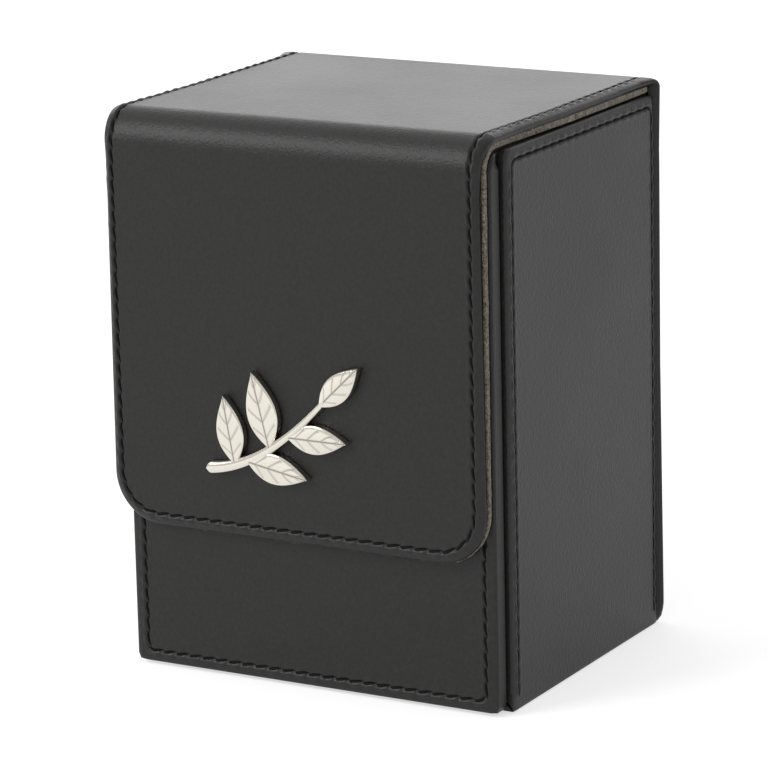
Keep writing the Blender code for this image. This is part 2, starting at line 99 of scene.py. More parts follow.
WRAP_WIDTH = FLAP_HIGH[0] - FLAP_LOW[0]
WRAP_TOP = FRONT_FOLD_HIGH[2]
WRAP_THICKNESS = WRAP_TOP - LID_LINING_LOW[2]
FRONT_FOLD_RADIUS = FRONT_FOLD_HIGH[2] - FRONT_FOLD_LOW[2]

# ---- Sewing ----

STITCH = 2.85  # pitch
STATIONS = 8  # mesh lines to a stitch
THREAD_RADIUS = 0.19
SLANT = 0.22  # how far a stitch runs to each side of its seam's line
STITCH_SHARE = 0.86  # a stitch's length over the pitch
STITCH_RINGS = 5  # cuts along a stitch
CHANNEL_DEPTH = 0.26
CHANNEL_WIDTH = 0.24
HOLE_DEPTH = 0.34
HOLE_WIDTH = 0.34
PUFF = 0.2  # how far the leather swells beside each stitch
# The swellings outside and inside the seam: share of the puff, distance from the seam, width and roundness
PUFF_PLACES = ((1.0, 0.66, 0.34, 1.4), (0.45, -0.6, 0.28, 2.0))
UNEVEN = 0.25  # how much the swellings differ
FADE_END, FADE_WIDTH = 1.1, 0.3  # the seam's relief dies out this far inside it
THREAD_SINK = 0.09  # the middle of a stitch lies this far below the leather
THREAD_DIVE = 0.32  # and its ends this much deeper
THREAD_PINCH = 0.25  # how much thinner its ends are
THREAD_STRAY = 0.05  # how much stitches differ in length and in place
SMOOTH_THREAD, SMOOTH_COVER, SMOOTH_LINING, SMOOTH_METAL = 50, 75, 60, 42  # degrees

# Each cover: how far its seam lies inside its edge, and the depth and width of its rolled border
WRAP_INSET = 2.5
WRAP_ROLL_WIDTH = 1.8
FLAP_CORNER = 10.0
PANEL_INSET = 2.2
PANEL_ROLL = (0.45, 1.3)
PANEL_PROUD, PANEL_PROUD_RIGHT = 0.3, 0.2  # how far the leather stands out past the board at the sides
PANEL_RIM_GAP = 0.15  # between its skirt and the side panels
SIDE_INSET = 2.1
SIDE_REAR_INSET = 1.3  # at the side panels' rear edge
SIDE_ROLL = (0.65, 1.5)
SEAM_CORNER = 1.5
EDGE_CORNER = 1.0
SIDE_SEAM_FOOT = 3.0  # the side seams stop this far above the underside

LEATHER = 0.6  # thickness
SUEDE = 0.55

# The wrap sits askew: how far it lies to one side at distances from the flap's lower edge
SKEW = ((0.0, -1.3), (81.0, -1.25), (105.0, -0.5), (140.0, -0.7), (158.0, -0.35), (200.0, -0.2))


# ---- Small helpers ----


def deselect():
    if bpy.context.object and bpy.context.object.mode != "OBJECT":
        bpy.ops.object.mode_set(mode="OBJECT")
    bpy.ops.object.select_all(action="DESELECT")


def only(obj):
    deselect()
    obj.select_set(True)
    bpy.context.view_layer.objects.active = obj
    return obj


def new_mesh(name, points, faces):
    """An object from points in millimetres, at the origin."""
    mesh = bpy.data.meshes.new(name)
    mesh.from_pydata((np.asarray(points) * MM).tolist(), [], faces)
    mesh.validate()
    obj = bpy.data.objects.new(name, mesh)
    bpy.context.scene.collection.objects.link(obj)
    return obj


def grid_faces(rows, columns, closed=False, start=0):
    """Faces between rows of points that follow one another; closed rows join end to end."""
    faces = []
    for r in range(rows - 1):
        for c in range(columns if closed else columns - 1):
            a, b = start + r * columns + c, start + r * columns + (c + 1) % columns
            faces.append((a, b, b + columns, a + columns))
    return faces


def apply_modifier(obj, kind, **settings):
    only(obj)
    modifier = obj.modifiers.new(kind.title(), kind)
    for key, value in settings.items():
        setattr(modifier, key, value)
    bpy.ops.object.modifier_apply(modifier=modifier.name)


def in_edit(obj, *steps):
    """Runs edit-mode operators on the whole mesh."""
    only(obj)
    bpy.ops.object.mode_set(mode="EDIT")
    bpy.ops.mesh.select_all(action="SELECT")
    for step, settings in steps:
        step(**settings)
    bpy.ops.object.mode_set(mode="OBJECT")


def face_outwards(obj):
    in_edit(obj, (bpy.ops.mesh.normals_make_consistent, {"inside": False}))


def smooth(obj, angle):
    only(obj)
    bpy.ops.object.shade_smooth_by_angle(angle=radians(angle))


# ---- Tracks: straight runs and clockwise turns, with the outside on the left ----


class Track:
    """A path in a plane, made of straight runs and quarter turns."""

    def __init__(self, start, heading, moves):
        self.parts = []
        place, heading, done = np.array(start, float), np.array(heading, float), 0.0
        for kind, size in moves:
            outward = np.array((-heading[1], heading[0]))
            if kind == "run":
                self.parts.append((done, size, kind, place, heading, outward, 0.0))
                place, done = place + heading * size, done + size
            else:
                centre = place - outward * size
                self.parts.append((done, size * pi / 2, kind, centre, heading, outward, size))
                place, done = centre + heading * size, done + size * pi / 2
                heading = -outward
        self.length = done

    def at(self, s):
        """Points and outward directions at distances along the track."""
        s = np.asarray(s, float)
        places, normals = np.zeros((s.size, 2)), np.zeros((s.size, 2))
        for i, (begin, length, kind, origin, heading, outward, radius) in enumerate(self.parts):
            first, last = i == 0, i == len(self.parts) - 1
            mine = (s >= begin) | first
            mine &= (s <= begin + length) | last
            q = (s[mine] - begin)[:, None]
            if kind == "run":
                places[mine], normals[mine] = origin + heading * q, outward
            else:
                turn = q / radius
                normal = outward * np.cos(turn) + heading * np.sin(turn)
                places[mine], normals[mine] = origin + normal * radius, normal
        return places, normals


# ---- Surfaces: where a flat cover lies on the box ----


class Surface:
    """Takes flat places (across, along) and a rise to points in space."""

    def __init__(self, track, plane, skew=None, skew_start=0.0, inside=False):
        self.track, self.plane, self.inside = track, plane, inside
        self.skew, self.skew_start = skew, skew_start

    def points(self, across, along, rise):
        across, along, rise = (np.asarray(v, float).ravel() for v in (across, along, rise))
        place, normal = self.track.at(along)
        place = place + normal * (-rise if self.inside else rise)[:, None]
        if self.skew:
            across = across + np.interp(along + self.skew_start, *zip(*self.skew))
        if self.plane == "yz":
            return np.stack((across, place[:, 0], place[:, 1]), 1)
        return np.stack((place[:, 0], across, place[:, 1]), 1)


# ---- Seams ----


class Seam:
    """A line of stitches on a flat cover, from one end or from the middle of its far side round to itself."""

    def __init__(self, low, high, corner, closed, pitch=STITCH, live=None, lean=SLANT):
        wide, tall = high[0] - low[0], high[1] - low[1]
        run = tall - corner * (2 if closed else 1)
        moves = [("run", run), ("turn", corner), ("run", wide - 2 * corner), ("turn", corner), ("run", run)]
        start, heading = (high[0], high[1]), (0, -1)
        if closed:
            start, heading = ((low[0] + high[0]) / 2, high[1]), (1, 0)
            half = [("run", wide / 2 - corner), ("turn", corner)]
            moves = half + moves + half[::-1]
        self.track = Track(start, heading, moves)
        self.closed, self.low, self.high, self.corner = closed, np.array(low), np.array(high), corner
        self.count = round(self.track.length / pitch)
        self.pitch = self.track.length / self.count
        self.live, self.lean = live or (lambda along: np.ones_like(along)), lean
        jitter = np.random.default_rng(self.count)
        self.wobble = jitter.uniform(-1, 1, (self.count, 3))

    def slant(self, s):
        """How far the thread lies outside the seam's line: each stitch crosses it from inside to outside."""
        phase = np.mod(s / self.pitch, 1.0)
        edge = (1 - STITCH_SHARE) / 2
        cross = (phase - 0.5) / (0.5 - edge)
        back = np.where(phase < 0.5, -phase, 1 - phase) / edge
        return self.lean * np.where(np.abs(cross) <= 1, cross, np.clip(back, -1, 1))

    def relief(self, s, t, along):
        """The leather's rise near the seam: a channel, a dip at each hole and a swelling between holes."""
        phase = np.mod(s / self.pitch, 1.0)
        to_hole = np.minimum(phase, 1 - phase) * self.pitch
        number = np.clip((s / self.pitch).astype(int), 0, self.count - 1)
        middle = np.sin(pi * phase)
        uneven = 1 + UNEVEN * self.wobble[number, 0] * middle**2
        channel = CHANNEL_DEPTH * np.exp(-(((t - self.slant(s)) / CHANNEL_WIDTH) ** 2))
        hole = HOLE_DEPTH * np.exp(-(to_hole**2 + t**2) / HOLE_WIDTH**2)
        swell = 0.0
        for size, where, width, power in PUFF_PLACES:
            swell = swell + size * PUFF * uneven * middle**power * np.exp(-(((t - where) / width) ** 2))
        fade = np.clip((t + FADE_END) / FADE_WIDTH, 0, 1)
        return (swell - channel - hole) * fade * self.live(along)


# ---- Covers ----

# Mesh lines beside the seam: inside it, outside it, and from there to the cover's edge
INSIDE = -np.array((1.42, 1.25, 1.1, 0.85, 0.62, 0.45, 0.3, 0.15))
NEAR = np.array((0.0, 0.15, 0.3, 0.45, 0.62, 0.82, 1.05))
FAR_LINES = 9


def table(value):
    """A single value as a table that holds everywhere."""
    return value if isinstance(value, tuple) else ((0.0, value),)


class Edge:
    """A cover's outline, a rounded rectangle, and how its border rolls over."""

    def __init__(self, low, high, corner, roll, rim, steps, open_top=False, ragged=0.0, bulge=0.0, tuck=0.0):
        """The roll is a depth and a width, and the rim is how deep the skirt round the border goes.

        The roll's depth, the rim and the bulge, which widens the outline, may be tables along the cover. The
        tuck is how much of the bulge the skirt loses again by its foot.
        """
        self.low, self.high, self.corner = np.array(low, float), np.array(high, float), corner
        self.depths, self.width, self.rim, self.bulge = table(roll[0]), roll[1], table(rim), table(bulge)
        self.steps, self.open_top, self.ragged, self.tuck = steps, open_top, ragged, tuck

    def inside(self, place):
        """Distance from the outline."""
        middle, half = (self.low + self.high) / 2, (self.high - self.low) / 2
        q = np.abs(place - middle) - (half - self.corner)
        if self.open_top:
            q[:, 1] = np.where(place[:, 1] > middle[1], -1e3, q[:, 1])
        out = np.linalg.norm(np.maximum(q, 0), axis=1) + np.minimum(q.max(1), 0)
        return self.corner - out

    def reach(self, place, direction):
        """How far a ray goes from a place to the outline."""
        with np.errstate(divide="ignore", invalid="ignore"):
            side = np.where(direction > 0, self.high, self.low)
            times = np.where(np.abs(direction) > 1e-9, (side - place) / direction, 1e9)
        best = times.min(1)
        hit = place + direction * best[:, None]
        middle, half = (self.low + self.high) / 2, (self.high - self.low) / 2
        sign = np.sign(hit - middle)
        centre = middle + sign * (half - self.corner)
        past = ((hit - centre) * sign > 0).all(1)
        if self.open_top:
            past &= sign[:, 1] < 0
        away = centre - place
        along = (away * direction).sum(1)
        bow = np.sqrt(np.maximum(self.corner**2 - (away**2).sum(1) + along**2, 0))
        return np.where(past, along + bow, best)

    def drop(self, distance, along):
        inner = np.clip(1 - distance / self.width, 0, 1)
        return -np.interp(along, *zip(*self.depths)) * (1 - np.sqrt(1 - inner**2))

    def fray(self, s, length):
        """How far a cut edge wanders at each place round the outline."""
        draw = np.random.default_rng(int(length * 10))
        wander = np.zeros_like(s)
        for waves, size in ((17, 0.5), (41, 0.4), (73, 0.35), (127, 0.3)):
            wander += size * np.sin(2 * pi * (waves * s / length + draw.uniform()))
        return self.ragged * wander


def cover(name, seam, edge, surface, thickness, stations=STATIONS):
    """A skin over one panel or run of panels, with its seam pressed in and its border rolled over.

    The border is a ribbon that follows the seam. Inside it, straight rulings join the two long sides, and one
    flat face closes each end.
    """
    count = seam.count * stations
    s = np.linspace(0, seam.track.length, count + 1)
    if seam.closed:
        s = s[:-1]
    place, outward = seam.track.at(s)
    near_reach = np.minimum(edge.reach(place, outward), WRAP_INSET)
    bulge = np.interp(place[:, 1], *zip(*edge.bulge)) * np.abs(outward[:, 0])
    full = edge.reach(place, outward) + bulge
    if edge.ragged:
        full = full + edge.fray(s, seam.track.length)
    lines = []
    for t in INSIDE:
        lines.append((place + outward * t, np.full(s.size, t), 0.0))
    share = near_reach / WRAP_INSET
    for t in NEAR:
        lines.append((place + outward * (t * share)[:, None], t * share, 0.0))
    last = NEAR[-1] * share
    for j in range(1, FAR_LINES + 1):
        t = last + (full - last) * sin(pi / 2 * j / FAR_LINES)
        lines.append((place + outward * t[:, None], t, 0.0))
    for j in range(1, edge.steps + 1):
        down = j / edge.steps
        tucked = full - bulge * edge.tuck * down**2
        lines.append((place + outward * tucked[:, None], full, down))

    across, along, rise = [], [], []
    for flat, t, sunk in lines:
        if sunk:
            brink = edge.drop(np.zeros(s.size), flat[:, 1])
            height = brink + (-np.interp(flat[:, 1], *zip(*edge.rim)) - brink) * sunk
        else:
            height = edge.drop(edge.inside(flat) + bulge, flat[:, 1]) + seam.relief(s, t, flat[:, 1])
        across.append(flat[:, 0])
        along.append(flat[:, 1])
        rise.append(height)
    points = surface.points(np.array(across), np.array(along), np.array(rise))

    faces = grid_faces(len(lines), s.size, seam.closed) + rulings(seam, s, s.size)
    return finish_cover(new_mesh(name, points, faces), surface, thickness)


def rulings(seam, s, size):
    """Faces inside the innermost line: straight rulings down the long sides and a flat face at each end."""
    turn = seam.corner * pi / 2
    wide = seam.high[0] - seam.low[0] - 2 * seam.corner
    tall = seam.high[1] - seam.low[1] - seam.corner * (2 if seam.closed else 1)
    first = wide / 2 + turn if seam.closed else 0.0
    inside = np.where((s >= first - 1e-6) & (s <= first + tall + 1e-6))[0]
    pairs = [(k, (size - k) % size if seam.closed else size - 1 - k) for k in inside]
    faces = [(a, c, d, b) for (a, b), (c, d) in zip(pairs, pairs[1:])]
    low_right, low_left = pairs[-1]
    faces.append(tuple(range(low_right, low_left + 1)))
    if seam.closed:
        high_right, high_left = pairs[0]
        faces.append(tuple(range(high_left, size)) + tuple(range(0, high_right + 1)))
    return faces


def finish_cover(obj, surface, thickness):
    """Turns the skin's outside out and gives it its thickness."""
    face_outwards(obj)
    mesh = obj.data
    biggest = max(mesh.polygons, key=lambda p: p.area)
    _, normal = surface.track.at([nearest_along(surface, biggest.center)])
    toward = Vector((0, *normal[0])) if surface.plane == "yz" else Vector((normal[0][0], 0, normal[0][1]))
    if surface.inside:
        toward = -toward
    if biggest.normal.dot(toward) < 0:
        in_edit(obj, (bpy.ops.mesh.flip_normals, {}))
    apply_modifier(obj, "SOLIDIFY", thickness=thickness * MM, offset=-1.0, use_even_offset=False)
    smooth(obj, SMOOTH_COVER)
    return obj


def nearest_along(surface, centre):
    """The distance along a surface's track that is nearest to a point in space."""
    s = np.linspace(0, surface.track.length, 400)
    place, _ = surface.track.at(s)
    here = np.array((centre.y, centre.z) if surface.plane == "yz" else (centre.x, centre.z)) / MM
    return s[np.argmin(((place - here) ** 2).sum(1))]


# ---- Thread ----


def stitch_form():
    """One stitch: a six-sided rod cut into rings. X and Y are across it, and Z runs from -0.5 to 0.5."""
    deselect()
    bpy.ops.mesh.primitive_cylinder_add(vertices=6, radius=1.0, depth=1.0)
    rod = bpy.context.object
    bpy.ops.object.mode_set(mode="EDIT")
    bpy.context.tool_settings.mesh_select_mode = (False, True, False)
    bpy.ops.mesh.select_all(action="DESELECT")
    bpy.ops.object.mode_set(mode="OBJECT")
    for edge in rod.data.edges:
        a, b = (rod.data.vertices[v].co for v in edge.vertices)
        edge.select = abs(a.z - b.z) > 0.5
    bpy.ops.object.mode_set(mode="EDIT")
    bpy.ops.mesh.subdivide(number_cuts=STITCH_RINGS)
    bpy.ops.object.mode_set(mode="OBJECT")
    form = np.array([v.co for v in rod.data.vertices]), [tuple(p.vertices) for p in rod.data.polygons]
    bpy.data.objects.remove(rod, do_unlink=True)
    return form


STITCH_POINTS, STITCH_FACES = stitch_form()


def thread_run(name, seam, surface):
    """All the stitches of one seam."""
    x, up, z = STITCH_POINTS.T
    points, faces = [], []
    for i in range(seam.count):
        middle = (i + 0.5) * seam.pitch
        spot, _ = seam.track.at([middle])
        if seam.live(spot[:, 1])[0] < 0.5:
            continue
        reach = STITCH_SHARE * (1 + THREAD_STRAY * seam.wobble[i, 1])
        s = middle + z * reach * seam.pitch
        place, outward = seam.track.at(s)
        dive = np.abs(2 * z) ** 4
        thick = THREAD_RADIUS * (1 - THREAD_PINCH * dive)
        lateral = seam.slant(s) + THREAD_STRAY * seam.wobble[i, 2] + x * thick
        flat = place + outward * lateral[:, None]
        height = -THREAD_SINK - THREAD_DIVE * dive + up * thick
        start = len(points) * len(x)
        points.append(surface.points(flat[:, 0], flat[:, 1], height))
        faces += [tuple(v + start for v in face) for face in STITCH_FACES]
    obj = new_mesh(name, np.concatenate(points), faces)
    face_outwards(obj)
    smooth(obj, SMOOTH_THREAD)
    return obj


# ---- Finishes ----


class Value:
    """A shader socket that Python's operators work on."""

    def __init__(self, tree, socket):
        self.tree, self.socket = tree, socket

    def math(self, operation, *others):
        return self.tree.node("ShaderNodeMath", {"operation": operation}, self, *others)

    def __add__(self, other):
        return self.math("ADD", other)

    def __sub__(self, other):
        return self.math("SUBTRACT", other)

    def __mul__(self, other):
        return self.math("MULTIPLY", other)

    def __rsub__(self, other):
        return self.tree.node("ShaderNodeMath", {"operation": "SUBTRACT"}, other, self)

    __radd__, __rmul__ = __add__, __mul__


class Tree:
    """A material's nodes."""

    def __init__(self, name, **constants):
        self.material = bpy.data.materials.new(name)
        self.material.use_nodes = True
        self.nodes = self.material.node_tree.nodes
        self.shader = self.nodes["Principled BSDF"]
        for socket, value in constants.items():
            self.shader.inputs[socket.replace("_", " ")].default_value = value

    def node(self, kind, settings, *values, output=0, **named):
        """Adds a node, sets it up, and fills its sockets in order or by name."""
        made = self.nodes.new(kind)
        for key, value in settings.items():
            setattr(made, key, value)
        for socket, value in zip(made.inputs, values):
            self.fill(socket, value)
        for key, value in named.items():
            self.fill(made.inputs[key.replace("_", " ")], value)
        return Value(self, made.outputs[output])

    def fill(self, socket, value):
        if isinstance(value, Value):
            self.material.node_tree.links.new(value.socket, socket)
        else:
            socket.default_value = value

    def feed(self, socket, value):
        self.fill(self.shader.inputs[socket], value)

    def place(self, scale=(1, 1, 1)):
        coordinates = self.node("ShaderNodeTexCoord", {}, output="Object")
        return self.node("ShaderNodeMapping", {}, Vector=coordinates, Scale=scale)

    def noise(self, scale, detail=2.0, roughness=0.5, place=None):
        settings = {"Scale": scale, "Detail": detail, "Roughness": roughness}
        return self.node("ShaderNodeTexNoise", {}, Vector=place or self.place(), **settings)

    def cells(self, scale):
        return self.node("ShaderNodeTexVoronoi", {"feature": "F1"}, Vector=self.place(), Scale=scale)

    def ramp(self, value, low, high):
        return self.node("ShaderNodeMapRange", {}, value, low, high, 0.0, 1.0)

    def mix(self, share, a, b):
        """A colour between two others."""
        made = self.nodes.new("ShaderNodeMix")
        made.data_type = "RGBA"
        for i, value in ((0, share), (6, a), (7, b)):
            self.fill(made.inputs[i], (*value, 1) if isinstance(value, tuple) else value)
        return Value(self, made.outputs[2])

    def bump(self, height, strength, distance):
        return self.node("ShaderNodeBump", {}, Strength=strength, Distance=distance * MM, Height=height)


def leatherette():
    tree = Tree("leatherette", Specular_IOR_Level=0.32)
    pores = tree.cells(2300)
    grain = tree.noise(1500, 3.0, 0.6)
    creases = tree.noise(760, 3.0, 0.6)
    soft = tree.noise(35, 2.0)
    height = grain + 0.55 * pores + 0.7 * creases
    tree.feed("Normal", tree.bump(height, 0.75, 0.085))
    worn = tree.ramp(grain, 0.35, 0.7)
    tree.feed("Base Color", tree.mix(worn, (0.0065, 0.0063, 0.0060), (0.0115, 0.0112, 0.0104)))
    tree.feed("Roughness", 0.36 + 0.1 * soft + 0.06 * grain)
    return tree.material


def suede():
    tree = Tree("suede", Roughness=0.95, Specular_IOR_Level=0.15, Sheen_Weight=0.15, Sheen_Roughness=0.5)
    nap = tree.noise(2300, 3.0, 0.7)
    brushed = tree.noise(700, 3.0, 0.6)
    worn = tree.noise(60, 2.0)
    fibres = tree.ramp(0.75 * nap + 0.25 * brushed, 0.38, 0.66)
    dark = tree.mix(tree.ramp(worn, 0.3, 0.7), (0.018, 0.014, 0.011), (0.036, 0.029, 0.022))
    tree.feed("Base Color", tree.mix(fibres, dark, (0.225, 0.191, 0.148)))
    tree.feed("Normal", tree.bump(nap + brushed, 0.9, 0.25))
    return tree.material


def thread():
    tree = Tree("thread", Roughness=0.7, Specular_IOR_Level=0.12)
    strands = tree.noise(3800, 1.0)
    tree.feed("Base Color", tree.mix(strands, (0.001, 0.001, 0.001), (0.005, 0.005, 0.005)))
    tree.feed("Normal", tree.bump(strands, 0.5, 0.06))
    return tree.material


def greyboard():
    tree = Tree("greyboard", Roughness=0.9, Specular_IOR_Level=0.2)
    pulp = tree.noise(1400, 4.0, 0.7)
    flecks = tree.ramp(tree.noise(2400, 1.0), 0.62, 0.7)
    plain = tree.mix(pulp, (0.20, 0.185, 0.16), (0.36, 0.34, 0.30))
    tree.feed("Base Color", tree.mix(flecks, plain, (0.10, 0.09, 0.08)))
    tree.feed("Normal", tree.bump(pulp, 0.4, 0.08))
    return tree.material


def nickel():
    tree = Tree("nickel", Metallic=1.0)
    haze = tree.noise(240, 3.0)
    hairlines = tree.noise(1, 2.0, place=tree.place((9000, 400, 700)))
    engraved = tree.node("ShaderNodeAttribute", {"attribute_name": "engraving"}, output="Fac")
    plain = tree.mix(haze, (0.62, 0.585, 0.515), (0.70, 0.67, 0.60))
    # Painted shade: the engraved vein grooves are painted dark to stand in for the shade in them, and are
    # made rougher
    tree.feed("Base Color", tree.mix(0.75 * engraved, plain, (0.10, 0.09, 0.075)))
    tree.feed("Roughness", 0.1 + 0.08 * haze + 0.25 * engraved)
    tree.feed("Normal", tree.bump(hairlines, 0.05, 0.02))
    return tree.material


def magnet():
    tree = Tree("magnet", Metallic=1.0)
    haze = tree.noise(700, 2.0)
    tree.feed("Base Color", tree.mix(haze, (0.50, 0.50, 0.52), (0.62, 0.62, 0.63)))
    tree.feed("Roughness", 0.22 + 0.15 * haze)
    return tree.material


FLOOR_GLOW = 0.62


def studio_white():
    tree = Tree("studio_white", Roughness=0.9, Specular_IOR_Level=0.0)
    tree.feed("Base Color", tree.mix(tree.noise(3), (0.46, 0.46, 0.46), (0.48, 0.48, 0.48)))
    tree.shader.inputs["Emission Color"].default_value = (1, 1, 1, 1)
    tree.shader.inputs["Emission Strength"].default_value = FLOOR_GLOW
    return tree.material


FINISHES = {maker.__name__: maker() for maker in (leatherette, suede, thread, greyboard, nickel, magnet)}


def dress(obj, finish, nodes=()):
    """Gives a new piece its finish and hides the CAD nodes that it stands for."""
    obj.data.materials.clear()
    obj.data.materials.append(FINISHES[finish])
    if nodes:
        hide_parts(*nodes)
    return obj


def dress_cad_nodes():
    slots = {part["node"]: part["material_slot"] for part in frame["record"]["subparts"]}
    for name, obj in frame["nodes"].items():
        obj.data.materials.clear()
        obj.data.materials.append(FINISHES[slots[name]])


dress_cad_nodes()

# ---- The outer wrap: flap, front fold, lid, rear fold and back ----

WRAP_SPLIT = 0.0  # the wrap's two halves meet here, in the middle of the lid
REAR_BEND = 1.6  # radius
FLAP_RUN = FRONT_FOLD_LOW[2] - FLAP_LOW[2]
FRONT_LID_RUN = WRAP_SPLIT - FRONT_FOLD_HIGH[1]
REAR_LID_RUN = BACK_HIGH[1] - REAR_BEND - WRAP_SPLIT
BACK_RUN = WRAP_TOP - REAR_BEND - BACK_LOW[2]
FRONT_TURN, REAR_TURN = FRONT_FOLD_RADIUS * pi / 2, REAR_BEND * pi / 2
FRONT_LENGTH = FLAP_RUN + FRONT_TURN + FRONT_LID_RUN
REAR_LENGTH = REAR_LID_RUN + REAR_TURN + BACK_RUN
HALF = WRAP_WIDTH / 2
LEATHER_TUCK = 0.6  # the wrap's leather stops this far inside the wrap's nominal edge
FLAP_LIFT = 0.2  # and this far above the flap's lower edge
FLAP_EDGE_CORNER = FLAP_CORNER - 0.4
REAR_BEND_END = BACK_RUN + REAR_TURN
FRONT_BEND_END = FLAP_RUN + FRONT_TURN
FRONT_DEPTH = 1.0  # how deep the wrap's border rolls over
REAR_DEPTHS = ((0.0, 0.4), (BACK_RUN, 0.45), (REAR_BEND_END, 0.5), (REAR_BEND_END + 14, FRONT_DEPTH))
WRAP_RIM = 1.4  # how deep its edge is
BACK_RIM = BACK_HIGH[1] - SIDES_HIGH[1] - 0.1  # the back leather's turned edge reaches the side panels
REAR_RIMS = (
    (0.0, BACK_RIM),
    (BACK_RUN - BACK_RIM + REAR_BEND, BACK_RIM),
    (BACK_RUN, REAR_BEND - 0.1),
    (REAR_BEND_END, REAR_BEND - 0.1),
    (REAR_BEND_END + 4, WRAP_RIM),
)
# How far the wrap's edge stands out, at distances from the flap's or the back's lower edge
FRONT_BULGE = (
    (0.0, 0.18),
    (FLAP_RUN - 4, -0.3),
    (FLAP_RUN + 3, 0.05),
    (FLAP_RUN + 8, 0.5),
    (FRONT_BEND_END, 0.45),
    (FRONT_BEND_END + 8, 0.0),
)
REAR_BULGE = (
    (0.0, 1.6),
    (50, 1.15),
    (BACK_RUN - 12, 1.35),
    (BACK_RUN, 1.8),
    (REAR_BEND_END, 1.5),
    (REAR_BEND_END + 4, 0.4),
    (REAR_BEND_END + 12, 0.0),
)

FRONT_MOVES = [("run", FLAP_RUN), ("turn", FRONT_FOLD_RADIUS), ("run", FRONT_LID_RUN)]
FRONT_TRACK = Track((FLAP_LOW[1], FLAP_LOW[2]), (0, 1), FRONT_MOVES)
REAR_MOVES = [("run", REAR_LID_RUN), ("turn", REAR_BEND), ("run", BACK_RUN)]
REAR_TRACK = Track((WRAP_SPLIT, WRAP_TOP), (1, 0), REAR_MOVES)


class FromFarEnd:
    """A surface whose flat cover is measured from the far end of its track."""

    def __init__(self, surface):
        self.surface, self.length = surface, surface.track.length
        self.plane, self.inside, self.track = surface.plane, surface.inside, surface.track

    def points(self, across, along, rise):
        return self.surface.points(across, self.length - np.asarray(along), rise)


# The front lining's fold line lies in its lower half only, so that it stays clear of the front panel's top
# edge.
LINING_FOLD_BACK, LINING_FOLD_DROP, LINING_FOLD_LIFT = 2.0, 0.6, 0.4
FOLD_LINES = {
    "front_leather": ("lid", "flap", (0, FRONT_FOLD_HIGH[1], WRAP_TOP), (0, FLAP_LOW[1], FRONT_FOLD_LOW[2])),
    "front_lining": (
        "lid",
        "flap",
        (0, FRONT_FOLD_HIGH[1] - LINING_FOLD_BACK, LID_LINING_LOW[2] - LINING_FOLD_DROP),
        (0, FLAP_LINING_HIGH[1], FRONT_FOLD_LOW[2] + LINING_FOLD_LIFT),
    ),
    "rear_leather": ("box", "lid", (0, BACK_HIGH[1], REAR_FOLD_LOW[2]), (0, REAR_FOLD_LOW[1], WRAP_TOP)),
}


def fold(obj, line):
    """Bakes a piece's transform into its mesh; the fold line's ends are read, but the piece is not bent."""
    first, second, start, end = FOLD_LINES[line]
    Vector(start) * MM
    Vector(end) * MM
    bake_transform(obj)


def make_wrap_leather(name, line, edge, corner, surface, covers, threads):
    length = edge.high[1]
    seam = Seam((-HALF + WRAP_INSET, WRAP_INSET), (HALF - WRAP_INSET, length), corner, False)
    skin = cover(f"{name}_leather", seam, edge, surface, LEATHER)
    sewing = thread_run(f"{name}_thread", seam, surface)
    fold(dress(skin, "leatherette", covers), line)
    fold(dress(sewing, "thread", threads), line)


def make_wrap():
    half = HALF - LEATHER_TUCK
    low, high, roll = (-half, FLAP_LIFT), (half, FRONT_LENGTH), (FRONT_DEPTH, WRAP_ROLL_WIDTH)
    make_wrap_leather(
        "front_wrap",
        "front_leather",
        Edge(low, high, FLAP_EDGE_CORNER, roll, WRAP_RIM, 1, True, bulge=FRONT_BULGE),
        FLAP_CORNER - WRAP_INSET,
        Surface(FRONT_TRACK, "yz", SKEW),
        ("flap_cover", "front_fold_cover", "lid_cover"),
        ("flap_stitching", "front_fold_stitching_left", "front_fold_stitching_right"),
    )
    low, high, roll = (-half, 0), (half, REAR_LENGTH), (REAR_DEPTHS, WRAP_ROLL_WIDTH)
    make_wrap_leather(
        "rear_wrap",
        "rear_leather",
        Edge(low, high, EDGE_CORNER, roll, REAR_RIMS, 4, True, bulge=REAR_BULGE, tuck=1.0),
        SEAM_CORNER,
        FromFarEnd(Surface(REAR_TRACK, "yz", SKEW, FRONT_LENGTH)),
        ("back_panel_cover", "rear_fold_cover", "lid_cover"),
        (
            "back_panel_stitching",
            "rear_fold_stitching_left",
            "rear_fold_stitching_right",
            "lid_stitching_left",
            "lid_stitching_right",
        ),
    )


SUEDE_ROLL = (0.35, 0.7)
SUEDE_RIM = WRAP_THICKNESS - WRAP_RIM - 0.08
SUEDE_FRAY = 0.08
SUEDE_STATIONS = 5  # mesh lines to a stitch
SUEDE_EDGE_LEFT, SUEDE_EDGE_RIGHT = -HALF + 0.4, HALF - 0.2
LID_SUEDE_CORNER = 2.0
LID_SUEDE_END = 31.2  # the lid's suede stops here, inside the rear bend
LINING_BEND = FRONT_FOLD_RADIUS - WRAP_THICKNESS
STRIP_FRONT = 27.0  # the fold strip starts here, under the lid's suede
STRIP_THICKNESS = 0.4
STRIP_TURN = 0.65
STRIP_INSET = 0.3
STRIP_DROP = 0.15
STRIP_RIPPLE = 0.03


